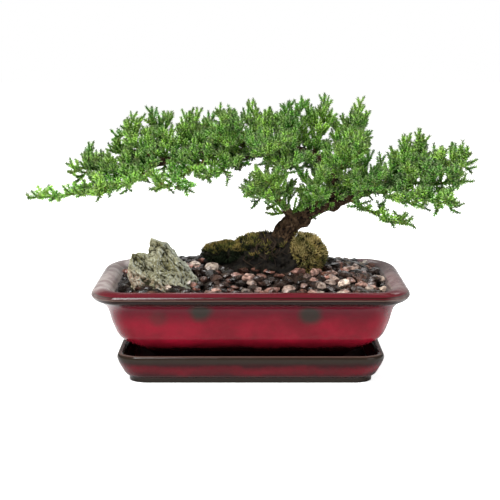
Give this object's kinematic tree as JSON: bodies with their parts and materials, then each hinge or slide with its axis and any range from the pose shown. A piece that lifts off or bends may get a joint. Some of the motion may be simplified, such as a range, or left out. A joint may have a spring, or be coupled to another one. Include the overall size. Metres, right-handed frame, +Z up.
{
  "type": "juniper bonsai",
  "caption": "Windswept juniper bonsai with dense finger-like needle sprays, in a glazed rectangular pot with gravel, moss and a rock, standing in its matching drip tray",
  "frame": {"origin": "centre of the drip tray's flat underside", "axes": "X is the long side of the pot, left to right seen from the front; Y runs from front to back; Z is up"},
  "size_m": [0.3194, 0.165, 0.1934],
  "materials": {
    "crimson_glaze": "glossy deep crimson glaze that breaks to olive brown along the lips",
    "dark_soil": "dull dark potting soil",
    "mixed_gravel": "damp rounded pebbles, brown, terracotta, cream and grey",
    "grey_rock": "rough pale grey-green rock with dark crevices",
    "dark_earth": "dull dark fibrous earth with roots",
    "olive_moss": "soft matt olive moss",
    "flaky_bark": "rough dark brown flaky bark",
    "green_needles": "live green needles, satin, yellower at the tips"
  },
  "bodies": {
    "root": {"drip_tray": "crimson_glaze", "pot": "crimson_glaze", "potting_soil": "dark_soil", "gravel": "mixed_gravel", "rock": "grey_rock", "root_ball": "dark_earth", "moss_left": "olive_moss", "moss_right": "olive_moss", "trunk_and_limbs": "flaky_bark", "foliage_left_tip": "green_needles", "foliage_left_crest": "green_needles", "foliage_left_mid": "green_needles", "foliage_left_rise": "green_needles", "foliage_left_back": "green_needles", "foliage_left_under": "green_needles", "foliage_left_fringe": "green_needles", "foliage_left_skirt": "green_needles", "foliage_crown_left": "green_needles", "foliage_crown_left_front": "green_needles", "foliage_crown_left_back": "green_needles", "foliage_crown_mid_left": "green_needles", "foliage_crown_mid": "green_needles", "foliage_crown_mid_front": "green_needles", "foliage_crown_skirt": "green_needles", "foliage_crown_mid_right": "green_needles", "foliage_crown_mid_back": "green_needles", "foliage_crown_top": "green_needles", "foliage_crown_right": "green_needles", "foliage_crown_right_front": "green_needles", "foliage_crown_right_low": "green_needles", "foliage_crown_right_back": "green_needles", "foliage_right_upper": "green_needles", "foliage_right_tip": "green_needles", "foliage_right_mid": "green_needles", "foliage_right_low": "green_needles", "foliage_right_skirt": "green_needles", "foliage_right_back": "green_needles", "foliage_droop": "green_needles", "foliage_low_left": "green_needles", "foliage_low_fan": "green_needles", "foliage_low_mid": "green_needles"}
  },
  "joints": []
}
